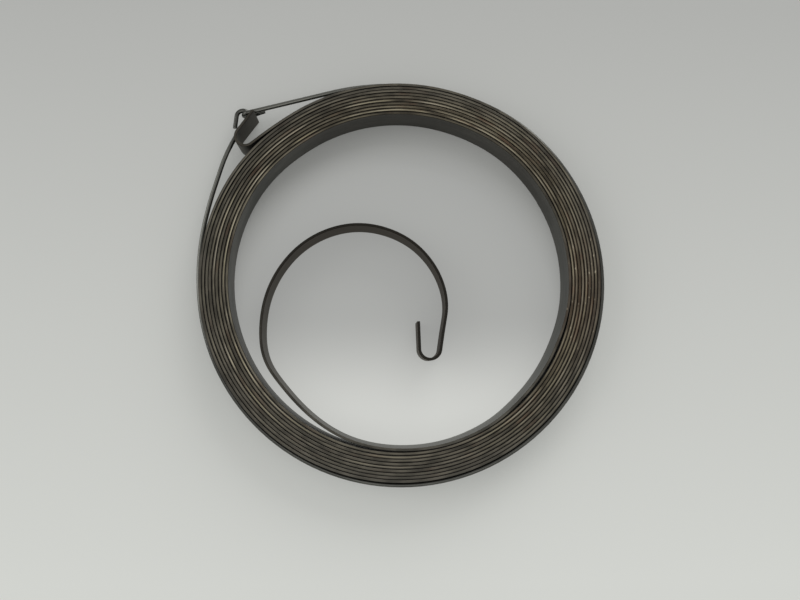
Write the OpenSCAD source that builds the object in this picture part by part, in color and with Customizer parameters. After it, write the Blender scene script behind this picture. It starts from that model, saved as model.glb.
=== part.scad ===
// Recoil starter spring, as it is sold: a flat steel strip wound into a tight ring, with a hook bent at each
// end, and a round wire that keeps the ring closed until the spring is fitted.
// The ring lies flat: its axis is Z, its lower strip edges rest on Z = 0.

/* [Strip] */
// Width of the strip, from edge to edge
strip_w = 7; // [4:0.5:12]
// Thickness of the strip
strip_t = 0.55; // [0.3:0.05:0.8]
// Chamfer along the strip's four long edges
edge_chamfer = 0.08; // [0.02:0.01:0.12]

/* [Coil] */
// Outside diameter of the wound ring
coil_od = 80; // [70:1:110]
// Whole turns between the inner loop's exit and the outer hook
coil_turns = 9; // [5:1:12]
// Air between one turn and the next
turn_gap = 0.1; // [0.04:0.02:0.3]
// Where the inner loop leaves the ring, as an angle about the ring's axis
exit_angle = 290; // [275:1:330]
// Where the outermost turn leaves the ring for the outer hook, as an angle about the ring's axis
outer_hook_angle = 130; // [120:0.5:135]

/* [Inner loop] */
// How much tighter the exit arc is than the ring's innermost turn
exit_inset = 3.5; // [1:0.1:6]
// Turn of the exit arc, in degrees
exit_turn = 79; // [60:1:90]
// Radius of the loop's left arc
left_r = 19.5; // [16:0.25:21]
// Turn of the loop's left arc, in degrees
left_turn = 76; // [60:1:90]
// Radius of the loop's top arc
top_r = 18.75; // [15:0.25:20]
// Turn of the loop's top arc, in degrees
top_turn = 76; // [60:1:90]
// Radius of the loop's right arc
right_r = 15.4; // [12:0.2:18]
// Turn of the loop's right arc, in degrees
right_turn = 67; // [50:1:80]
// Straight run from the loop to the inner hook
lead_in = 6.8; // [3:0.2:9]

/* [Hooks] */
// Inside radius of the inner hook's bend
inner_hook_r = 1.8; // [1:0.1:2.4]
// Turn of the inner hook's bend, in degrees
inner_hook_turn = 170; // [150:1:180]
// Free leg of the inner hook
inner_leg = 5.4; // [3:0.1:7]
// Straight run from the ring to the outer hook
lead_out = 5.3; // [4:0.1:8]
// Inside radius of the outer hook's bend
outer_hook_r = 1.65; // [1.2:0.05:2.2]
// Turn of the outer hook's bend, in degrees
outer_hook_turn = 166; // [160:1:172]
// Free leg of the outer hook
outer_leg = 5.2; // [4.5:0.1:7]

/* [Retaining wire] */
// Diameter of the retaining wire
wire_d = 0.9; // [0.6:0.05:1.05]
// Height of the wire's centre above the lower strip edges, beside the outer hook
wire_z = 4; // [3:0.1:5]
// How much higher the wire lies on the far side of the ring
wire_rise = 2.2; // [0.4:0.1:2.4]
// Air between the wire and the strip that it holds
wire_gap = 0.1; // [0.06:0.01:0.2]
// Where the wire leaves the ring on the hook's left, as an angle about the ring's axis
wire_left_angle = 188; // [184:1:196]
// Radius of the wire's open eye, at its centre line
eye_r = 1.3; // [1.25:0.05:1.7]
// Turn of the wire's open eye, in degrees
eye_turn = 210; // [190:1:214]
// Where the open eye starts, measured back from the end of the spring's outer leg
eye_setback = 1.6; // [1.2:0.1:2]
// Free leg of the wire's open eye
eye_leg = 2.6; // [1:0.1:3]
// Where along the open eye's bend the hairpin takes hold, in degrees
catch_angle = 60; // [50:1:62]
// Where the wire leaves the ring on the hook's right, as an angle about the ring's axis
wire_right_angle = 88; // [80:1:94]
// How much flatter than the ring the wire's bow on the hook's right is, as added radius
right_bow = 9; // [6:0.5:12]
// Air between the hairpin and the open eye
hairpin_clear = 0.15; // [0.1:0.01:0.3]
// Turn of the wire's hairpin, in degrees
hairpin_turn = 192; // [180:1:200]
// Free leg of the wire's hairpin
hairpin_leg = 3.2; // [1:0.1:4]

/* [Hidden] */
$fn = 120;

// Every second stretch is this much slimmer all round and reaches this far into its neighbours, so that
// stretches join into one solid and no two of their faces lie on each other
hair = 0.002;
lap = 0.02;

// Rounding to a tenth of a micrometre lets neighbouring half turns meet exactly
function tenth_micron(x) = round(x * 10000) / 10000;

// Each half turn of the ring is an arc whose radius grows by half a pitch, about one of two centres
half_step = tenth_micron((strip_t + turn_gap) / 2);
last_half = 2 * coil_turns + 1;
outer_r = tenth_micron((coil_od - strip_t) / 2);
inner_r = outer_r - last_half * half_step;
function half_r(k) = outer_r - (last_half - k) * half_step;
function half_centre(k) = [(k % 2 == 1 ? -1 : 1) * half_step / 2, 0];

// A pose is [x, y, heading]. A stretch is [radius, turn], left turns positive, or [0, length] if straight.
function left_of(heading) = [-sin(heading), cos(heading)];
function along(heading) = [cos(heading), sin(heading)];
function point(pose) = [pose[0], pose[1]];
function pose_at(p, heading) = [p[0], p[1], heading];
function arc_centre(pose, s) = point(pose) + sign(s[1]) * s[0] * left_of(pose[2]);
function after(pose, s) =
    s[0] == 0 ? pose_at(point(pose) + s[1] * along(pose[2]), pose[2])
    : pose_at(arc_centre(pose, s) - sign(s[1]) * s[0] * left_of(pose[2] + s[1]), pose[2] + s[1]);
function poses(pose, run, i = 0) =
    i == len(run) ? [pose] : concat([pose], poses(after(pose, run[i]), run, i + 1));
function end_of(pose, run) = poses(pose, run)[len(run)];

// The strip inward of the ring: exit arc, three arcs of the loop, then the inner hook
exit_r = inner_r - exit_inset;
exit_pose = pose_at(half_centre(0) + inner_r * along(exit_angle), exit_angle - 90);
inner_run = [
    [exit_r, -exit_turn],
    [left_r, -left_turn],
    [top_r, -top_turn],
    [right_r, -right_turn],
    [0, lead_in],
    [inner_hook_r + strip_t / 2, -inner_hook_turn],
    [0, inner_leg]
];

// The strip outward of the ring: a straight run, then the outer hook
outer_pose = pose_at(half_centre(last_half) + outer_r * along(outer_hook_angle), outer_hook_angle + 90);
outer_run = [
    [0, lead_out],
    [outer_hook_r + strip_t / 2, -outer_hook_turn],
    [0, outer_leg]
];
hook_centre = arc_centre(after(outer_pose, outer_run[0]), outer_run[1]);
leg_heading = outer_pose[2] - outer_hook_turn;

// The wire lies on the ring as one more turn would
wire_reach = strip_t / 2 + wire_gap + wire_d / 2;
wire_right_r = outer_r + wire_reach;
wire_left_r = wire_right_r - half_step;
wire_left_pose = pose_at(half_centre(0) + wire_left_r * along(wire_left_angle), wire_left_angle - 90);

// On the left the wire leaves the ring on a flatter arc, which touches a circle round the outer hook's bend
bend_r = outer_hook_r + strip_t + wire_gap + wire_d / 2;
to_ring = half_centre(0) - hook_centre;
ring_less_bend = wire_left_r - bend_r;
bow_r = wire_left_r + (to_ring * to_ring - ring_less_bend * ring_less_bend)
    / (2 * (ring_less_bend + to_ring * along(wire_left_angle)));
bow_centre = half_centre(0) - (bow_r - wire_left_r) * along(wire_left_angle);
from_bow = hook_centre - bow_centre;
touch_angle = atan2(from_bow[1], from_bow[0]);
eye_run = [
    [bow_r, touch_angle - wire_left_angle],
    [bend_r, leg_heading - touch_angle + 90],
    [0, outer_leg - eye_setback],
    [eye_r, eye_turn],
    [0, eye_leg]
];

// On the right the wire leaves the ring on a flatter arc and runs straight to the open eye
hairpin_r = wire_d + hairpin_clear;
eye_start = end_of(wire_left_pose, [for (i = [0 : 2]) eye_run[i]]);
catch_point = point(after(eye_start, [eye_r, catch_angle]));
right_bow_r = wire_right_r + right_bow;
right_bow_centre = half_centre(last_half) - right_bow * along(wire_right_angle);
to_catch = catch_point - right_bow_centre;
release_angle = atan2(to_catch[1], to_catch[0]) - acos(right_bow_r / norm(to_catch));
free_run = sqrt(to_catch * to_catch - right_bow_r * right_bow_r);
wire_right_pose = pose_at(right_bow_centre + right_bow_r * along(wire_right_angle), wire_right_angle + 90);
right_run = [
    [right_bow_r, release_angle - wire_right_angle],
    [0, free_run]
];

// The part on the ring is tilted about the line between the two places where the wire leaves the ring
leave_line = point(wire_right_pose) - point(wire_left_pose);
wire_tilt = asin(wire_rise / (wire_right_r * (1 + cos((wire_left_angle - wire_right_angle) / 2))));

// The left end dips on its way, so that the right one passes over it and its hairpin folds back under it
eye_dip = asin(hairpin_r / ((catch_point - point(wire_left_pose)) * along(wire_left_pose[2])));

// Section of the strip, upright, with its middle on the centre line
module strip_section(slimmer = 0) {
    x = strip_t / 2 - slimmer;
    low = slimmer;
    high = strip_w - slimmer;
    polygon([
        [-x, low + edge_chamfer], [edge_chamfer - x, low], [x - edge_chamfer, low], [x, low + edge_chamfer],
        [x, high - edge_chamfer], [x - edge_chamfer, high], [edge_chamfer - x, high], [-x, high - edge_chamfer]
    ]);
}

// Section of the retaining wire at its height on the strip
module wire_section(slimmer = 0) {
    translate([0, wire_z]) circle(r = wire_d / 2 - slimmer);
}

// One bent stretch, a revolved section, or one straight stretch, an extruded section
module stretch(pose, s, lap_start, lap_end) {
    if (s[0] == 0)
        translate(point(pose) - lap_start * along(pose[2]))
            rotate([90, 0, pose[2] + 90])
                linear_extrude(s[1] + lap_start + lap_end) children();
    else {
        degrees_per_mm = 180 / PI / s[0];
        before = (s[1] > 0 ? lap_start : lap_end) * degrees_per_mm;
        beyond = (s[1] > 0 ? lap_end : lap_start) * degrees_per_mm;
        first = s[1] > 0 ? pose[2] - 90 : pose[2] + 90 + s[1];
        translate(arc_centre(pose, s))
            rotate_extrude(start = first - before, angle = abs(s[1]) + before + beyond)
                translate([s[0], 0]) children();
    }
}

// A run of stretches: the first, third and so on are the slim ones, which reach into their neighbours
module strip_run(pose, run) {
    stops = poses(pose, run);
    for (i = [0 : len(run) - 1])
        if (i % 2 == 1)
            stretch(stops[i], run[i], 0, 0) strip_section();
        else
            stretch(stops[i], run[i], lap, i == len(run) - 1 ? 0 : lap) strip_section(hair);
}

module wire_run(pose, run) {
    stops = poses(pose, run);
    for (i = [0 : len(run) - 1])
        if (i % 2 == 1)
            stretch(stops[i], run[i], 0, 0) wire_section();
        else
            stretch(stops[i], run[i], lap, i == len(run) - 1 ? 0 : lap) wire_section(hair);
}

module ring_turns() {
    for (k = [0 : last_half]) {
        first = k == 0 ? exit_angle : k % 2 == 1 ? 0 : 180;
        last = k == last_half ? outer_hook_angle : k % 2 == 1 ? 180 : 360;
        translate(half_centre(k))
            rotate_extrude(start = first, angle = last - first)
                translate([half_r(k), 0]) strip_section();
    }
}

module spring_strip() {
    color([0.36, 0.34, 0.31]) {
        ring_turns();
        strip_run(exit_pose, inner_run);
        strip_run(outer_pose, outer_run);
    }
}

// The left end, tilted about the ring's radius at the place where it leaves the ring
module open_eye() {
    leave = [wire_left_pose[0], wire_left_pose[1], wire_z];
    translate(leave)
        rotate(a = eye_dip, v = [cos(wire_left_angle), sin(wire_left_angle), 0])
            translate(-leave) wire_run(wire_left_pose, eye_run);
}

// The fold at the right end: it turns down beyond the open eye and comes back under it
module hairpin() {
    reach = end_of(wire_right_pose, right_run);
    lap_turn = lap * 180 / PI / hairpin_r;
    translate([reach[0], reach[1], wire_z - hairpin_r])
        rotate([0, 0, reach[2]]) {
            rotate([90, 0, 0])
                rotate_extrude(start = 90 - hairpin_turn - lap_turn, angle = hairpin_turn + 2 * lap_turn)
                    translate([hairpin_r, 0]) circle(r = wire_d / 2 - hair);
            rotate([0, hairpin_turn - 180, 0])
                translate([-hairpin_leg, 0, -hairpin_r])
                    rotate([0, 90, 0]) cylinder(d = wire_d, h = hairpin_leg);
        }
}

// The part of the wire that lies on the ring
module held_turn() {
    leave = [wire_left_pose[0], wire_left_pose[1], wire_z];
    translate(leave) rotate(a = -wire_tilt, v = [leave_line[0], leave_line[1], 0]) translate(-leave) {
        translate(half_centre(last_half))
            rotate_extrude(start = 0, angle = wire_right_angle) translate([wire_right_r, 0]) wire_section();
        translate(half_centre(0))
            rotate_extrude(start = wire_left_angle, angle = 360 - wire_left_angle)
                translate([wire_left_r, 0]) wire_section();
    }
}

module retaining_wire() {
    color([0.30, 0.31, 0.31]) {
        held_turn();
        open_eye();
        wire_run(wire_right_pose, right_run);
        hairpin();
    }
}

spring_strip();
retaining_wire();
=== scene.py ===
# %% [markdown]
# # Recoil starter spring
# The spring that pulls an engine's starter rope back is one long strip of tempered steel. It is sold wound
# into a ring, hooked at both ends, with a round wire hooked about it so that it can't fly open. Here it lies
# flat on a pale floor and the camera looks down on it. The exact solids come first: they are the frame that
# every new surface has to fit.

import bpy
import numpy as np
from mathutils import Matrix, Vector


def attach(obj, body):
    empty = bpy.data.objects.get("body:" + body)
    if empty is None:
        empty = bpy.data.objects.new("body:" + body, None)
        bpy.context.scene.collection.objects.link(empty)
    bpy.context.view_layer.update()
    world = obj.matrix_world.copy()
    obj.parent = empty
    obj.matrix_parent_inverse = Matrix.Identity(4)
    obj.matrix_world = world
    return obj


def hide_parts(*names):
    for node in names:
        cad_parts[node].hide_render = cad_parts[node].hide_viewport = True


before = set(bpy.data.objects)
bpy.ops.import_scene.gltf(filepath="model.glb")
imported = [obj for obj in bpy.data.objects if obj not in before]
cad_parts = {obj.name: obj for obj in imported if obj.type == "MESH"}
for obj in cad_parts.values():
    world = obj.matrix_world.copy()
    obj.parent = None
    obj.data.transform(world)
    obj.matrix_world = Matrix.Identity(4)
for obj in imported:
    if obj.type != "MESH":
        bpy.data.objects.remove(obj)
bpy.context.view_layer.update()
MM = 0.001
print("solids:", sorted(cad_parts))

# %% [markdown]
# ## A path made of bends
# A spring coiler pushes strip forward and bends it as it goes, so the simplest description of the part is the
# machine's own: a list of lengths, each with the angle it is bent through. Drawing a curve by hand would need
# hundreds of points. Adding up bends needs about thirty numbers, and the same function serves the wire.

# %% From bends to a path
def straight(length):
    """A stretch of that length in mm, with no bend."""
    return (length, 0.0, 0.0)


def arc(radius, turn):
    """A level bend: its length is its radius times its turn. Left turns are positive, in degrees."""
    return (radius * abs(np.radians(turn)), turn, 0.0)


def walk(bends, finest_turn=2.5, longest_step=2.0):
    """Path of a strip or wire, in mm. Heading and pitch grow evenly along each bend. Place is the running sum
    of the chords, and the chord of a short arc is its length times sin(h) / h, where h is half its turn."""
    length, turn, rise = np.array(bends).T
    turn, rise = np.radians(turn), np.radians(rise)
    steps = np.ceil(np.maximum(length / longest_step, np.hypot(turn, rise) / np.radians(finest_turn)))
    steps = steps.astype(int)
    step, yaw_step, tilt_step = (np.repeat(total / steps, steps) for total in (length, turn, rise))
    sums = [np.concatenate([[0], np.cumsum(each)]) for each in (step, yaw_step, tilt_step, steps)]
    run, yaw, tilt, stops = sums
    mid_yaw, mid_tilt = yaw[:-1] + yaw_step / 2, tilt[:-1] + tilt_step / 2
    chord = step * np.sinc(np.hypot(yaw_step, tilt_step) / (2 * np.pi))
    level = np.cos(mid_tilt)
    ahead = np.stack([level * np.cos(mid_yaw), level * np.sin(mid_yaw), np.sin(mid_tilt)])
    place = np.concatenate([np.zeros((1, 3)), np.cumsum(chord * ahead, axis=1).T])
    return {"place": place, "yaw": yaw, "tilt": tilt, "run": run, "stops": stops}


def settle(path, stop, place, heading):
    """Turns and slides a whole path so that it passes the given stop at that place with that heading."""
    at = path["stops"][stop]
    turn = np.radians(heading) - path["yaw"][at]
    c, s = np.cos(turn), np.sin(turn)
    spin = np.array([[c, s, 0], [-s, c, 0], [0, 0, 1]])
    path["place"] = (path["place"] - path["place"][at]) @ spin + np.array(place)
    path["yaw"] = path["yaw"] + turn
    return path


print("a quarter bend of 10 mm radius takes %.1f mm" % arc(10, 90)[0])

# %% [markdown]
# ## The strip's bends
# Working outward from the free tip: a short leg, the inner hook, the loop that will wrap the pulley's hub, the
# ring, and the outer hook that anchors in the housing. Each half turn of the ring is a true half circle about
# one of two centres a hair apart, and the radius grows by half a pitch each time. That is how a draughtsman
# draws a spiral with compasses, and it keeps every turn the same distance from the next.

# %% The strip's centre line
strip_wide, strip_thick = 7.0, 0.55
half_step = 0.325
ring_radius = 39.725
half_turns = np.arange(20)
last = half_turns[-1]
ring_radii = ring_radius - half_step * (last - half_turns)
ring_turns = np.where(half_turns == 0, 70.0, np.where(half_turns == last, 130.0, 180.0))
loop = [straight(5.4), arc(2.075, 170), straight(6.8),
        arc(15.4, 67), arc(18.75, 76), arc(19.5, 76), arc(30.05, 79)]
ring = [arc(r, t) for r, t in zip(ring_radii, ring_turns)]
outer_hook = [straight(5.3), arc(1.925, -166), straight(5.2)]

strip_path = walk(loop + ring + outer_hook)
settle(strip_path, len(loop) + 1, (half_step / 2 + ring_radii[0], 0, strip_wide / 2), 90)
print("strip: %.2f m long, %d stations" % (strip_path["run"][-1] * MM, len(strip_path["run"])))

# %% [markdown]
# ## Turns that aren't quite even
# In a real ring the turns press on each other here and leave a dark gap there, and their edges don't sit
# perfectly flush. Each turn gets slow waves, in and out by a few hundredths of a millimetre. The ring isn't
# quite round either: ahead of the outer hook it is flattened by a third of a millimetre, and the innermost
# turn stands a little inward where it begins. The free loop has taken a set, so it bends a little more
# sharply at the lower left than a true arc would. All of this stays under two thirds of a millimetre, and the
# hooks keep their measured shape.

# %% Helpers for uneven winding
def ease(x):
    """0 below 0, 1 above 1, and 3 x squared minus 2 x cubed between."""
    x = np.clip(x, 0, 1)
    return x * x * (3 - 2 * x)


def flattened(place, weight, most=0.33):
    """Moves points towards the ring's axis, by most (in mm) times their weight, from about 60 to 135 degrees
    round the ring. X and Y shrink by that share of their distance from the axis, and Z stays."""
    angle = np.degrees(np.arctan2(place[:, 1], place[:, 0]))
    depth = most * weight * ease((angle - 45) / 30) * (1 - ease((angle - 122) / 26))
    shrink = 1 - depth / np.hypot(place[:, 0], place[:, 1])
    return place * np.stack([shrink, shrink, np.ones_like(shrink)], axis=1)


print("eased at a quarter, a half and three quarters:", ease(np.array([0.25, 0.5, 0.75])).round(2).tolist())

# %% Uneven winding
run = strip_path["run"]
ring_stop, hook_stop = len(loop), len(loop) + len(ring)
ring_start, ring_end, hook_start = run[strip_path["stops"][[ring_stop, hook_stop, hook_stop + 1]]]
begun = run - ring_start
in_ring = np.clip(begun / 40, 0, 1) * np.clip((ring_end - run) / 25, 0, 1)

# Waves of several lengths along the strip, in mm: wander goes in and out, level goes up and down.
wander = 0.013 * (np.sin(run / 23.0) + np.sin(run / 37.7 + 1.3) * 0.9 + np.sin(run / 9.1 + 0.4) * 0.3)
level = 0.035 * (np.sin(run / 71.0 + 0.7) + 0.5 * np.sin(run / 29.0))
stand_in = 0.28 * ease((begun - 6) / 10) * (1 - ease((begun - 26) / 12))

# Each row bends the free loop a little: its middle along the strip, its spread and its depth, in mm.
loop_set = 0 * run
for middle, spread, depth in ((20, 3, -0.15), (31, 4, 0.15), (47, 4, -0.12), (66, 6, 0.2),
                              (83.5, 3.8, -0.56), (106, 6.5, -0.36)):
    loop_set = loop_set + depth * np.exp(-((run - middle) / spread) ** 2 / 2)

left = np.stack([-np.sin(strip_path["yaw"]), np.cos(strip_path["yaw"]), 0 * run], axis=1)
strip_path["place"] = strip_path["place"] + (in_ring * wander + stand_in + loop_set)[:, None] * left
strip_path["yaw"] = strip_path["yaw"] + np.arctan(np.gradient(stand_in + loop_set, run))
strip_path["place"][:, 2] += in_ring * level
before_hook = (run > ring_start) * np.clip((hook_start - run) / 7, 0, 1)
strip_path["place"] = flattened(strip_path["place"], before_hook)
print("turns wander by up to %.3f mm" % np.abs(in_ring * wander).max())
print("the loop's set is up to %.2f mm" % np.abs(loop_set).max())

# %% [markdown]
# ## A section carried along the path
# Rolled strip has a flat section with rounded edges, and drawn wire a round one. Both are swept: every station
# of the path gets a copy of the section, and the copies are joined with quads. The surface normals are worked
# out from the same formula, so that the wide faces stay flat and only the edges catch a rounded highlight. The
# distance along the piece and round its section are kept as texture coordinates, in metres.

# %% Two sections
def rolled_section(wide, thick, radius, points=4):
    """Rectangle with round corners, as (across, up) in mm: corner centres plus radius times (cos, sin)."""
    angle = np.radians(np.linspace(0, 90, points))[None, :] + np.radians([0, 90, 180, 270])[:, None]
    normal = np.stack([np.cos(angle), np.sin(angle)], axis=-1).reshape(-1, 2)
    sign = np.repeat([[1, 1], [-1, 1], [-1, -1], [1, -1]], points, axis=0)
    return sign * (np.array([thick, wide]) / 2 - radius) + radius * normal, normal


def round_section(diameter, points=14):
    """Circle, as (across, up) in mm: half the diameter times (cos, sin)."""
    angle = np.linspace(0, 2 * np.pi, points, endpoint=False)
    normal = np.stack([np.cos(angle), np.sin(angle)], axis=-1)
    return diameter / 2 * normal, normal


edge_radius = 0.11
room_for_waves = 0.12
strip_section = rolled_section(strip_wide - room_for_waves, strip_thick, edge_radius)
print("strip section: %d corners, %.2f mm high" % (len(strip_section[0]), np.ptp(strip_section[0][:, 1])))

# %% The sweep
def sweep(name, path, section, nip=0.0):
    """Surface of place + across * side + up * over, where side is level and square to the path, and over is
    square to both. Within nip mm of the last end, up shrinks evenly to a fifth, like wire cut with pliers.
    Returns an object whose UV map holds metres along and metres round."""
    corner, normal = section
    yaw, tilt, zero = path["yaw"], path["tilt"], 0 * path["yaw"]
    side = np.stack([-np.sin(yaw), np.cos(yaw), zero], axis=1)
    over = np.stack([-np.sin(tilt) * np.cos(yaw), -np.sin(tilt) * np.sin(yaw), np.cos(tilt)], axis=1)
    ahead = np.cross(side, over)
    stations, around = len(yaw), len(corner)
    squeeze = np.interp(path["run"][-1] - path["run"], [0, nip], [0.2, 1]) if nip else 1 + zero
    up = squeeze[:, None, None] * corner[:, 1:]
    points = (path["place"][:, None] + corner[:, :1] * side[:, None] + up * over[:, None]) * MM
    normals = (normal[:, :1] * side[:, None] + normal[:, 1:] * over[:, None]).reshape(-1, 3)

    i, j = np.meshgrid(np.arange(stations - 1), np.arange(around), indexing="ij")
    k = (j + 1) % around
    quads = np.stack([i * around + j, i * around + k, (i + 1) * around + k, (i + 1) * around + j], axis=-1)
    quads = quads.reshape(-1, 4)
    first_cap = np.arange(around)[::-1]
    last_cap = (stations - 1) * around + np.arange(around)
    faces = quads.tolist() + [first_cap.tolist(), last_cap.tolist()]
    mesh = bpy.data.meshes.new(name)
    mesh.from_pydata(points.reshape(-1, 3), [], faces)

    girth = np.concatenate([[0], np.cumsum(np.hypot(*(np.roll(corner, -1, axis=0) - corner).T))])
    along = path["run"]
    u = np.stack([along[i], along[i], along[i + 1], along[i + 1]], axis=-1).reshape(-1)
    v = np.stack([girth[j], girth[j + 1], girth[j + 1], girth[j]], axis=-1).reshape(-1)
    u = np.concatenate([u, along[0] + corner[::-1, 0], along[-1] + corner[:, 0]])
    v = np.concatenate([v, corner[::-1, 1], corner[:, 1]])
    uv = mesh.uv_layers.new(name="metres")
    uv.data.foreach_set("uv", np.stack([u, v], axis=-1).ravel() * MM)
    mesh.polygons.foreach_set("use_smooth", np.ones(len(faces), bool))
    caps = np.concatenate([np.repeat(-ahead[:1], around, axis=0), np.repeat(ahead[-1:], around, axis=0)])
    mesh.normals_split_custom_set(np.concatenate([normals[quads.ravel()], caps]).tolist())
    mesh.validate()
    thing = bpy.data.objects.new(name, mesh)
    bpy.context.scene.collection.objects.link(thing)
    print(name, "-", stations, "stations,", len(faces), "faces")
    return thing


strip = sweep("spring_strip_wound", strip_path, strip_section)
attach(strip, "root")
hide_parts("spring_strip")

# %% [markdown]
# ## Numbers that the finish needs
# The strip's edges were slit and dressed, so they look different from its wide faces, and they differ from
# turn to turn: the second and fifth turns are rubbed bright and carry a painted highlight along the crown, the
# outermost ones are a colder grey, and the free loop and the outer hook are darker than the ring. They differ
# round the ring too. The bottom is duller and greyer. The right is more tanned, its turns are more alike, and
# it has a few bright nicks. The left is rubbed and highlighted brightest above and below its middle. At the
# top the gaps are painted blackest, as old oil and painted shade, and the upper part of the innermost turn is
# painted darker and duller, as painted shade. Seven numbers are stored on every vertex: how far round the edge
# it is, where it is across the strip's thickness, how bright that turn is rubbed and highlighted, how tanned
# it is by old oil, how often it is nicked, how black its gaps are painted with oil and shade, and how dark and
# dull it is, as the free loop is and as the innermost turn's painted shade is. The shader reads them by name.

# %% How each turn is rubbed and tanned
across, up = strip_section[0].T
edge = np.clip(1 - (np.abs(up).max() - np.abs(up)) / edge_radius, 0, 1)
turn_number = begun / (ring_end - ring_start) * ring_turns.sum() / 360
rub_and_highlight_at_turn = {0.0: 0.0, 0.25: 0.1, 0.5: 0.5, 0.9: 0.5, 1.1: 1.0, 1.9: 0.9, 2.2: 0.5, 2.8: 0.3, 3.2: 0.15,
               3.7: 0.25, 4.1: 0.8, 4.9: 0.7, 5.3: 0.3, 6.5: 0.2, 7.6: 0.3, 8.4: 0.15, 9.5: 0.15}
tan_at_turn = {0.0: 0.0, 0.2: 0.2, 0.4: 0.8, 1.0: 1.0, 3.5: 0.9, 6.0: 0.6, 8.0: 0.3, 9.0: 0.15, 9.5: 0.1}
rub_and_highlight = np.interp(turn_number, list(rub_and_highlight_at_turn), list(rub_and_highlight_at_turn.values()))
tan = np.interp(turn_number, list(tan_at_turn), list(tan_at_turn.values()))
print("the ring has %.2f turns" % turn_number[strip_path["stops"][hook_stop]])

# %% How that changes round the ring, in degrees from the right
angle = np.degrees(np.arctan2(strip_path["place"][:, 1], strip_path["place"][:, 0]))
at_bottom = 1 - ease((np.abs((angle + 275) % 360 - 180) - 20) / 40)
at_right = ease((75 - np.abs(angle - 5)) / 40)
at_top = ease((70 - np.abs(angle - 75)) / 40)
rub_and_highlight += at_right * (turn_number > 1) * 0.6 * (0.5 - rub_and_highlight)
# On the left the rubbed line is made brighter above and below the middle: painted highlight.
for middle, change in ((158, 0.4), (180, -0.3), (204, 0.5)):
    rub_and_highlight *= 1 + change * np.exp(-((angle % 360 - middle) / 12) ** 2)
rub_and_highlight *= 1 - 0.55 * at_bottom
tan *= (0.7 + 0.3 * np.cos(np.radians(angle - 20))) * (1 - 0.5 * at_bottom)
nick = (turn_number > 0) * ease(1.2 - np.abs(angle + 6) / 22)
# Weight of the black oil and painted shade in the gaps, largest at the top of the ring.
gap_oil_and_shade_weight = 0.7 + 0.3 * np.cos(np.radians(angle - 110))
innermost = (turn_number > 0) & (turn_number < 1)
past_ring = np.clip((run - ring_end) / 4, 0, 1)
# The free loop and outer hook are dark and dull; the innermost turn's upper part gets 0.35 of that as painted
# shade.
dull_and_shaded = 1 - ease((begun + 75) / 70) + 0.35 * innermost * at_top + 0.5 * past_ring
print("at the bottom: %d stations, at the right: %d" % ((at_bottom > 0.5).sum(), (at_right > 0.5).sum()))

# %% Seven numbers stored on the strip
def store(piece, name, values):
    """Keeps one number for every vertex of a piece, under a name that a shader can read."""
    piece.data.attributes.new(name, "FLOAT", "POINT").data.foreach_set("value", values.astype(np.float32))
    print("%s on %s: from %.2f to %.2f" % (name, piece.name, values.min(), values.max()))


store(strip, "edge", np.tile(edge, len(run)))
store(strip, "across", np.tile(across * 2 / strip_thick, len(run)))
for name, values in {"rub_and_highlight": rub_and_highlight, "tan": tan, "nick": nick, "gap_oil_and_shade_weight": gap_oil_and_shade_weight, "dull_and_shaded": dull_and_shaded}.items():
    store(strip, name, np.repeat(values, len(edge)))

# %% [markdown]
# ## The retaining wire
# A round wire follows the ring as one more turn would, leaves it on both sides of the outer hook and is closed
# there by its own ends. One end is an open eye that lies beside the hook's leg. The other runs straight from
# the ring, passes over the eye and folds back under it like a hairpin, so the wire's path needs a tilt as well
# as a heading. The wire isn't level: it lies higher on the far side of the ring, and dips on its way to the
# eye. That length has taken a set too: it stands a third of a millimetre inward of a true arc. One number is
# stored on the wire: how much painted light its two free lengths get, so they are lighter than the length
# along the ring.

# %% The wire's centre line, still level
wire_thick, wire_height = 0.9, 4.0
wire_right, wire_left = 40.55, 40.225
open_eye = [straight(2.6), arc(1.3, -210), straight(3.6), arc(2.75, 7.9724), arc(58.104, 36.0276)]
on_ring = [arc(wire_left, 172), arc(wire_right, 88)]
hairpin = [arc(49.55, 16.439), straight(18.7271), (np.radians(192) * 1.05, 0, -192), straight(3.2)]
wire_path = walk(open_eye + on_ring + hairpin, finest_turn=6)
settle(wire_path, len(open_eye) + 1, (wire_right - half_step / 2, 0, wire_height), 90)
print("wire: %.0f mm long, %d stations" % (wire_path["run"][-1], len(wire_path["run"])))

# %% The wire's slope and set
far_lift, ring_span = 2.2, 66.6
dip_slope, dip_heading = np.radians(1.57), np.radians(98)
place, wire_run = wire_path["place"], wire_path["run"]
# Stations: the eye's leg ends, the wire meets the ring and parts from it, its straight starts and ends.
eye_end, meet, part, straight_start, straight_end = wire_path["stops"][[3, 5, 7, 8, 9]]
chord = (place[part] - place[meet])[:2]
from_meet = (place - place[meet])[:, :2]
beyond_chord = from_meet @ np.array([chord[1], -chord[0]]) / np.hypot(*chord)
toward_eye = from_meet @ np.array([np.cos(dip_heading), np.sin(dip_heading)])
place[meet:part, 2] += far_lift / ring_span * np.clip(beyond_chord, 0, None)[meet:part]
place[:meet, 2] -= np.sin(dip_slope) * toward_eye[:meet]

past_eye = wire_run - wire_run[eye_end]
wire_set = 0.36 * ease((past_eye - 3) / 8) * np.exp(-((past_eye - 13) / 8) ** 2 / 2)
place[:, 0] -= wire_set * np.sin(wire_path["yaw"])
place[:, 1] += wire_set * np.cos(wire_path["yaw"])
wire_path["yaw"] = wire_path["yaw"] + np.arctan(np.gradient(wire_set, wire_run))
to_straight = wire_run[straight_start] - wire_run
still_on_ring = np.clip(to_straight / to_straight[part], 0, 1) * (wire_run > wire_run[meet])
wire_path["place"] = flattened(place, still_on_ring)
print("wire ends at", wire_path["place"][[0, -1]].round(2).tolist())
print("wire lies %.1f to %.1f mm above the floor" % (place[:, 2].min(), place[:, 2].max()))

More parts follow.
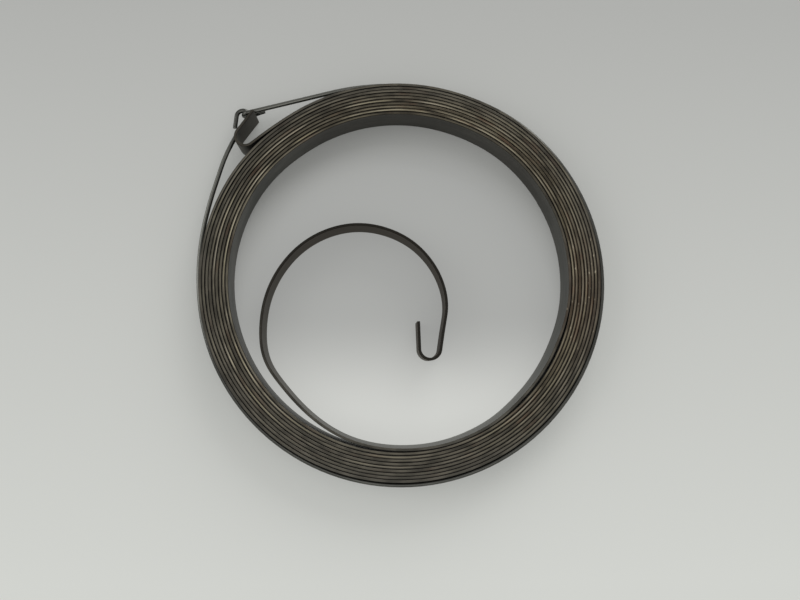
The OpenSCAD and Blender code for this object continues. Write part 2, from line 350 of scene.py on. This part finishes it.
# %% Make the wire
wire = sweep("retaining_wire_drawn", wire_path, round_section(wire_thick), nip=1.1)
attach(wire, "root")
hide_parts("retaining_wire")

# %% One number stored on the wire
# Painted light: the two free lengths are made lighter, and the length along the ring stays dark.
painted_light_left = ease(past_eye / 4) - ease((wire_run - wire_run[meet] + 4) / 8)
painted_light_top = ease((wire_run - wire_run[part] + 4) / 8) - ease((wire_run - wire_run[straight_end] + 3) / 4)
store(wire, "painted_light", np.repeat(painted_light_left + painted_light_top, len(wire.data.vertices) // len(wire_run)))

# %% [markdown]
# ## Colours and nodes
# Colours are written as they look on a screen, in hex, and turned into the linear values that a shader works
# with. One function adds a node: settings go on the node, and each input is a plain value or the socket that
# feeds it.

# %% Colour and node helpers
def linear(hex_colour):
    """Linear RGBA of an sRGB hex colour: c / 12.92 when dark, otherwise ((c + 0.055) / 1.055) to the 2.4."""
    c = np.array([int(hex_colour[i:i + 2], 16) for i in (1, 3, 5)]) / 255
    return (*np.where(c <= 0.04045, c / 12.92, ((c + 0.055) / 1.055) ** 2.4), 1.0)


def add(tree, kind, inputs=None, **settings):
    """Adds one shader node with its settings, then sets or links its inputs by name or number."""
    node = tree.nodes.new("ShaderNode" + kind)
    for key, value in settings.items():
        setattr(node, key, value)
    for key, value in (inputs or {}).items():
        if isinstance(value, bpy.types.NodeSocket):
            tree.links.new(value, node.inputs[key])
        else:
            node.inputs[key].default_value = value
    return node


def blank_material(name):
    """A material with nothing but its output node to come."""
    material = bpy.data.materials.new(name)
    material.use_nodes = True
    material.node_tree.nodes.clear()
    return material, material.node_tree


print("tanned edge, linear:", [round(c, 3) for c in linear("#615949")])

# %% [markdown]
# ## Tempered spring steel
# The strip is high-carbon steel, rolled, hardened and tempered, with a thin dark oxide on its wide faces. The
# oxide gives a soft grey reflection with faint rolling lines along the strip. The edges were slit and dressed,
# so they are tanned by old oil, touched with rust, and rubbed bright along the crown of some turns, where a
# thin painted highlight line lies too, and the gaps between turns are painted black, as old oil and painted
# shade.
# The free loop is browner, and its glancing shine is dulled; the upper part of the innermost turn is painted
# darker and duller the same way, as painted shade. Every stain is noise stretched along the strip's own
# length, so it follows the winding. The rolling lines are drawn coarser than real ones, which would be too
# fine to show.

# %% Strip finish: patterns
steel, tree = blank_material("Tempered spring steel, oiled")
metres = add(tree, "UVMap", uv_map="metres").outputs[0]
reads = {name: add(tree, "Attribute", attribute_name=name).outputs["Fac"] for name in
         ("edge", "across", "rub_and_highlight", "tan", "nick", "gap_oil_and_shade_weight", "dull_and_shaded")}
# Each stain's length along the strip and width round it, in mm, and its detail.
stains = {"cloud": (14, 5, 3), "rolling": (9, 0.35, 3), "dirt": (4, 3, 3), "oil": (16, 3, 2),
          "rust": (7, 3, 3), "break": (12, 3, 3), "chip": (1.1, 0.6, 0), "sheen": (6, 0.5, 3),
          "scratch": (10, 0.12, 3)}
noise = {}
for name, (long, wide, detail) in stains.items():
    stretched = add(tree, "Mapping", {"Vector": metres, "Location": (7.0 * len(noise),) * 3,
                                      "Scale": (1 / (long * MM), 1 / (wide * MM), 1)}).outputs[0]
    noise[name] = add(tree, "TexNoise", {"Vector": stretched, "Scale": 1.0, "Detail": detail}).outputs[0]
print("patterns, mm long and wide:", {name: size[:2] for name, size in stains.items()})

# %% Strip finish: where each pattern shows
shows = {}
for name, low, high in (("cloud", 0.35, 0.7), ("rolling", 0.5, 0.75), ("dirt", 0.35, 0.65),
                        ("oil", 0.3, 0.7), ("rust", 0.54, 0.68), ("break", 0.38, 0.6), ("chip", 0.72, 0.84)):
    shows[name] = add(tree, "MapRange", {"Value": noise[name], "From Min": low, "From Max": high},
                      interpolation_type="SMOOTHSTEP").outputs[0]
print("patterns shown:", ", ".join(shows))

# %% Strip finish: wear and painted highlight, rust, black oil and painted shade
line_off_crown = 0.15
off_line = add(tree, "Math", {0: reads["across"], 1: line_off_crown}, operation="SUBTRACT").outputs[0]
off_line = add(tree, "Math", {0: off_line}, operation="ABSOLUTE").outputs[0]
highlight_line = add(tree, "MapRange", {"Value": off_line, "From Min": 0.55, "From Max": 0.15},
                  interpolation_type="SMOOTHSTEP").outputs[0]
# Rubbed metal with a painted highlight: a bright line just outward of the crown, where the turn is rubbed.
worn_and_highlight = shows["break"]
for share in (reads["rub_and_highlight"], highlight_line):
    worn_and_highlight = add(tree, "Math", {0: worn_and_highlight, 1: share}, operation="MULTIPLY").outputs[0]
rusty = add(tree, "Math", {0: shows["rust"], 1: reads["tan"]}, operation="MULTIPLY").outputs[0]
rusty = add(tree, "Math", {0: reads["nick"], 1: 0.3, 2: rusty}, operation="MULTIPLY_ADD",
            use_clamp=True).outputs[0]
# Black oil and painted shade lie where the edge rounds over into the gap: one minus edge, times edge, is
# largest half way.
gap_oil_and_shade = add(tree, "Math", {0: 1.0, 1: reads["edge"]}, operation="SUBTRACT").outputs[0]
for share in (reads["edge"], reads["gap_oil_and_shade_weight"], 3.0):
    gap_oil_and_shade = add(tree, "Math", {0: gap_oil_and_shade, 1: share}, operation="MULTIPLY").outputs[0]
chipped = add(tree, "Math", {0: shows["chip"], 1: reads["nick"]}, operation="MULTIPLY").outputs[0]
print("bright line centred %.0f %% outward of the crown" % (100 * line_off_crown))

# %% Strip finish: colours
paints = {}
for name, stain, clear, stained in (("tanned", "dirt", "#403b32", "#615949"),
                                    ("grey", "dirt", "#4b4943", "#625f57"),
                                    ("bright", "oil", "#beb6a3", "#b3ab8e"),
                                    ("oxide", "cloud", "#5d5d59", "#6d6c67")):
    paints[name] = add(tree, "Mix", {0: shows[stain], 6: linear(clear), 7: linear(stained)},
                       data_type="RGBA").outputs[2]
edge_colour = paints["grey"]
for cover, paint in ((reads["tan"], paints["tanned"]), (rusty, linear("#594538")), (worn_and_highlight, paints["bright"]),
                     (chipped, linear("#b8ae98")), (reads["dull_and_shaded"], linear("#302e2a"))):
    edge_colour = add(tree, "Mix", {0: cover, 6: edge_colour, 7: paint}, data_type="RGBA").outputs[2]
# The gaps' near-black colour, old oil and painted shade, goes on last.
colour = paints["oxide"]
for cover, paint in ((shows["rolling"], linear("#53534f")), (reads["dull_and_shaded"], linear("#433f3b")),
                     (reads["edge"], edge_colour), (gap_oil_and_shade, linear("#221c11"))):
    colour = add(tree, "Mix", {0: cover, 6: colour, 7: paint}, data_type="RGBA").outputs[2]
print("colours mixed by stain:", ", ".join(paints))

# %% Strip finish: shader
rough = add(tree, "MapRange", {"Value": noise["sheen"], "To Min": 0.36, "To Max": 0.56}).outputs[0]
lines = add(tree, "Bump", {"Height": noise["scratch"], "Strength": 0.25, "Distance": 0.02 * MM}).outputs[0]
# Glancing shine dulled on the free loop, and as painted shade on the innermost turn's upper part.
glance = add(tree, "Mix", {0: reads["dull_and_shaded"], 6: linear("#ffffff"), 7: linear("#e2ded8")},
             data_type="RGBA").outputs[2]
surface = add(tree, "BsdfPrincipled", {"Base Color": colour, "Metallic": 1.0, "Roughness": rough,
                                       "Normal": lines, "Specular Tint": glance})
add(tree, "OutputMaterial", {"Surface": surface.outputs[0]})
strip.data.materials.append(steel)
print(steel.name, "-", len(tree.nodes), "nodes")

# %% [markdown]
# ## Dark drawn wire
# The wire is mild steel, drawn through a die and left with its dark drawing film. Drawing leaves fine lines
# along the wire and a satin shine. The two free lengths are coloured lighter, as painted light.

# %% Wire finish
wire_steel, tree = blank_material("Drawn mild steel wire")
metres = add(tree, "UVMap", uv_map="metres").outputs[0]
noise = {}
for name, (long, wide, detail) in {"film": (8, 0.8, 3), "sheen": (4, 0.3, 3), "draw": (6, 0.1, 2)}.items():
    stretched = add(tree, "Mapping", {"Vector": metres, "Location": (5.0 * len(noise),) * 3,
                                      "Scale": (1 / (long * MM), 1 / (wide * MM), 1)}).outputs[0]
    noise[name] = add(tree, "TexNoise", {"Vector": stretched, "Scale": 1.0, "Detail": detail}).outputs[0]
thick_film = add(tree, "MapRange", {"Value": noise["film"], "From Min": 0.35, "From Max": 0.7},
                 interpolation_type="SMOOTHSTEP").outputs[0]
film = add(tree, "Mix", {0: thick_film, 6: linear("#52524e"), 7: linear("#62625d")},
           data_type="RGBA").outputs[2]
painted_light = add(tree, "Attribute", attribute_name="painted_light").outputs["Fac"]
# Painted light: a lighter colour on the two free lengths.
film = add(tree, "Mix", {0: painted_light, 6: film, 7: linear("#72726c")}, data_type="RGBA").outputs[2]
rough = add(tree, "MapRange", {"Value": noise["sheen"], "To Min": 0.18, "To Max": 0.3}).outputs[0]
lines = add(tree, "Bump", {"Height": noise["draw"], "Strength": 0.2, "Distance": 0.02 * MM}).outputs[0]
surface = add(tree, "BsdfPrincipled", {"Base Color": film, "Metallic": 1.0, "Roughness": rough,
                                       "Normal": lines})
add(tree, "OutputMaterial", {"Surface": surface.outputs[0]})
wire.data.materials.append(wire_steel)
print(wire_steel.name, "-", len(tree.nodes), "nodes")

# %% [markdown]
# ## Floor and light
# The floor is plain pale paper, a little lighter towards the bottom of the picture. Seen by the camera, or in
# the metal, part of its light is its own: a quarter outside the ring, and up to seven tenths inside it, which
# keeps that narrow space as pale as it is in the photograph. The rest still takes the part's shadow, and close
# to the ring's upper wall nearly all of it does. The main lamp stands low beyond the top of the picture, so
# the walls of the ring that face it are lit and the others are dark. A weaker lamp at the left gives the wire
# its highlight, and the weakest, overhead and towards the bottom, lights the edges there. The sky is an even
# grey.

# %% Paper: how much of its light is its own
paper, tree = blank_material("Pale grey paper")
spot = add(tree, "TexCoord").outputs["Object"]
rays = add(tree, "LightPath").outputs
seen = rays["Is Camera Ray"]
for kind in ("Is Glossy Ray", "Is Transmission Ray"):
    seen = add(tree, "Math", {0: seen, 1: rays[kind]}, operation="MAXIMUM").outputs[0]
radius = add(tree, "VectorMath", {0: spot}, operation="LENGTH").outputs["Value"]
inside = add(tree, "MapRange", {"Value": radius, "From Min": 39 * MM, "From Max": 36 * MM}).outputs[0]
reach = add(tree, "VectorMath", {0: spot, 1: (0, -9 * MM, 0)}, operation="DISTANCE").outputs["Value"]
own_inside = add(tree, "MapRange", {"Value": reach, "From Min": 38.5 * MM, "From Max": 32 * MM,
                                    "To Min": 0.05, "To Max": 0.7}).outputs[0]
own_share = add(tree, "Mix", {0: inside, 2: 0.25, 3: own_inside}).outputs[0]
own = add(tree, "Math", {0: seen, 1: own_share}, operation="MULTIPLY").outputs[0]
print(paper.name, "-", len(tree.nodes), "nodes for its own light")

# %% Paper: colours and shader
up_picture = add(tree, "SeparateXYZ", {0: spot}).outputs["Y"]
near = add(tree, "MapRange", {"Value": up_picture, "From Min": 60 * MM, "From Max": -60 * MM}).outputs[0]
shade = add(tree, "Mix", {0: near, 6: linear("#bbbcb9"), 7: linear("#e2e4df")}, data_type="RGBA").outputs[2]
# Inside the ring the paper's own light is darker in the upper part and lighter low down: painted shade.
low = add(tree, "MapRange", {"Value": up_picture, "From Min": -6 * MM, "From Max": -28 * MM},
          interpolation_type="SMOOTHSTEP").outputs[0]
glow_with_painted_shade = add(tree, "Mix", {0: low, 6: linear("#a7a8a6"), 7: linear("#d9dad6")}, data_type="RGBA").outputs[2]
glow_with_painted_shade = add(tree, "Mix", {0: inside, 6: shade, 7: glow_with_painted_shade}, data_type="RGBA").outputs[2]
glow = add(tree, "Emission", {"Color": glow_with_painted_shade, "Strength": 1.0}).outputs[0]
lit = add(tree, "BsdfDiffuse", {"Color": shade}).outputs[0]
add(tree, "OutputMaterial", {"Surface": add(tree, "MixShader", {0: own, 1: lit, 2: glow}).outputs[0]})
print(paper.name, "-", len(tree.nodes), "nodes in all")

# %% Floor
half = 0.6
mesh = bpy.data.meshes.new("floor")
mesh.from_pydata([(-half, -half, 0), (half, -half, 0), (half, half, 0), (-half, half, 0)], [], [(0, 1, 2, 3)])
mesh.materials.append(paper)
floor = bpy.data.objects.new("floor", mesh)
bpy.context.scene.collection.objects.link(floor)
print("floor: %.1f m square" % (2 * half))

# %% Sky and lamps
world = bpy.data.worlds.new("Even grey sky")
bpy.context.scene.world = world
world.use_nodes = True
sky = world.node_tree.nodes["Background"].inputs
sky["Color"].default_value = linear("#ffffff")
sky["Strength"].default_value = 0.5
for name, where, size, power in (("main lamp", (0.36, 0.86, 0.34), 0.7, 5.4),
                                 ("left lamp", (-0.8, 0.12, 0.52), 0.6, 1.6),
                                 ("overhead lamp", (0.05, -0.35, 0.94), 0.6, 0.75)):
    lamp = bpy.data.lights.new(name, "AREA")
    lamp.shape, lamp.size, lamp.energy = "SQUARE", size, power
    stand = bpy.data.objects.new(name, lamp)
    stand.location = where
    stand.rotation_euler = (-stand.location).to_track_quat("-Z", "Y").to_euler()
    bpy.context.scene.collection.objects.link(stand)
    print("%s: %.1f W, %.2f m away" % (name, power, stand.location.length))
bpy.context.scene.view_settings.view_transform = "Standard"

# %% [markdown]
# ## Camera
# A phone's lens close to the part: the ring's near rim hides its own outside and shows the whole inner wall,
# wide at the top and narrow at the bottom. The place and the lens were found by matching the front and rear
# rims of the ring in the photograph.

# %% Camera
camera = bpy.data.cameras.new("camera")
camera.sensor_fit, camera.sensor_width, camera.lens = "HORIZONTAL", 36.0, 32.966
camera.clip_start = 1 * MM
camera_place = Vector((-5.349, -18.76, 149.996)) * MM
ahead, top = Vector((0.0361, 0.0998, -0.9944)).normalized(), Vector((-0.0003, 0.995, 0.0999))
right = ahead.cross(top).normalized()
top = right.cross(ahead)
turned = Matrix((right, top, -ahead)).transposed().to_4x4()
viewpoint = bpy.data.objects.new("camera", camera)
viewpoint.matrix_world = Matrix.Translation(camera_place) @ turned
bpy.context.scene.collection.objects.link(viewpoint)
bpy.context.scene.camera = viewpoint
print("camera %.0f mm above the floor" % (viewpoint.location.z / MM))
